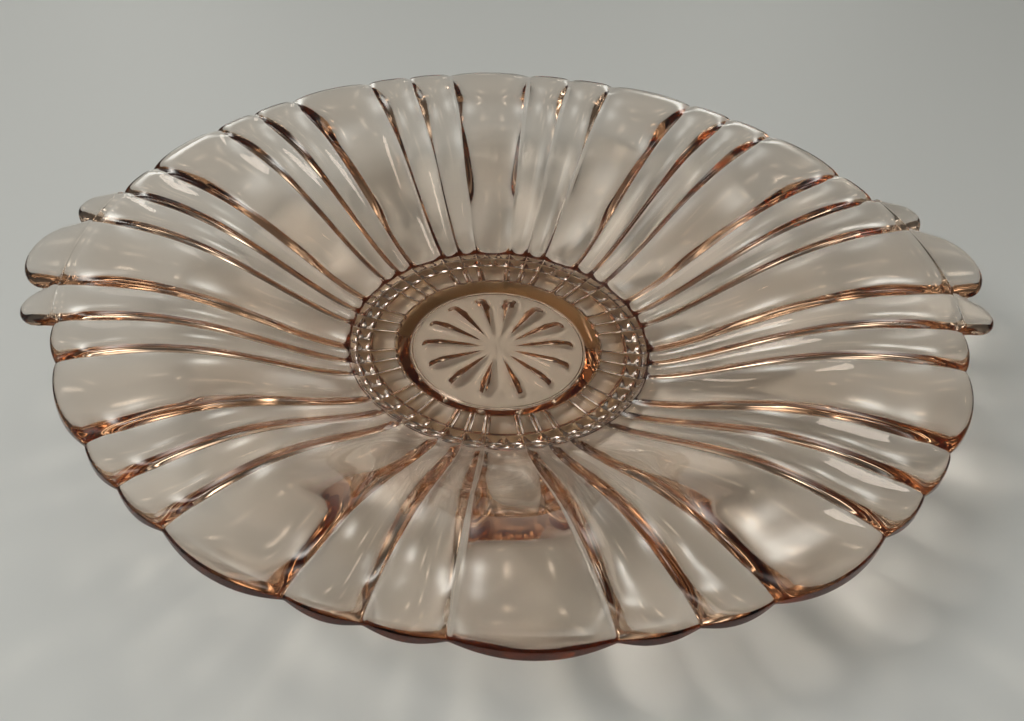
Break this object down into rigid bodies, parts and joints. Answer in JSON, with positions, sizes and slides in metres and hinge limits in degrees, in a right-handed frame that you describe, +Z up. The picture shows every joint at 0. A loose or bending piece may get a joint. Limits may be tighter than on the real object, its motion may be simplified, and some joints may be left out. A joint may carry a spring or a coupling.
{
  "type": "pressed glass candy dish",
  "caption": "Low round pressed glass dish with a fluted wall, scalloped rim, two fluted handles, a flat well with a petalled medallion and a beaded foot.",
  "frame": {"origin": "middle of the foot's resting plane, under the centre of the well", "axes": "+Z up out of the bowl, X through the two handles, Y across them"},
  "size_m": [0.1788, 0.1628, 0.0254],
  "materials": {
    "pink_glass": "clear pink pressed glass, fire polished"
  },
  "bodies": {
    "root": {"fluted_wall": "pink_glass", "scalloped_rim": "pink_glass", "well_floor": "pink_glass", "centre_medallion": "pink_glass", "foot_ring": "pink_glass", "handle_left": "pink_glass", "handle_right": "pink_glass"}
  },
  "joints": []
}
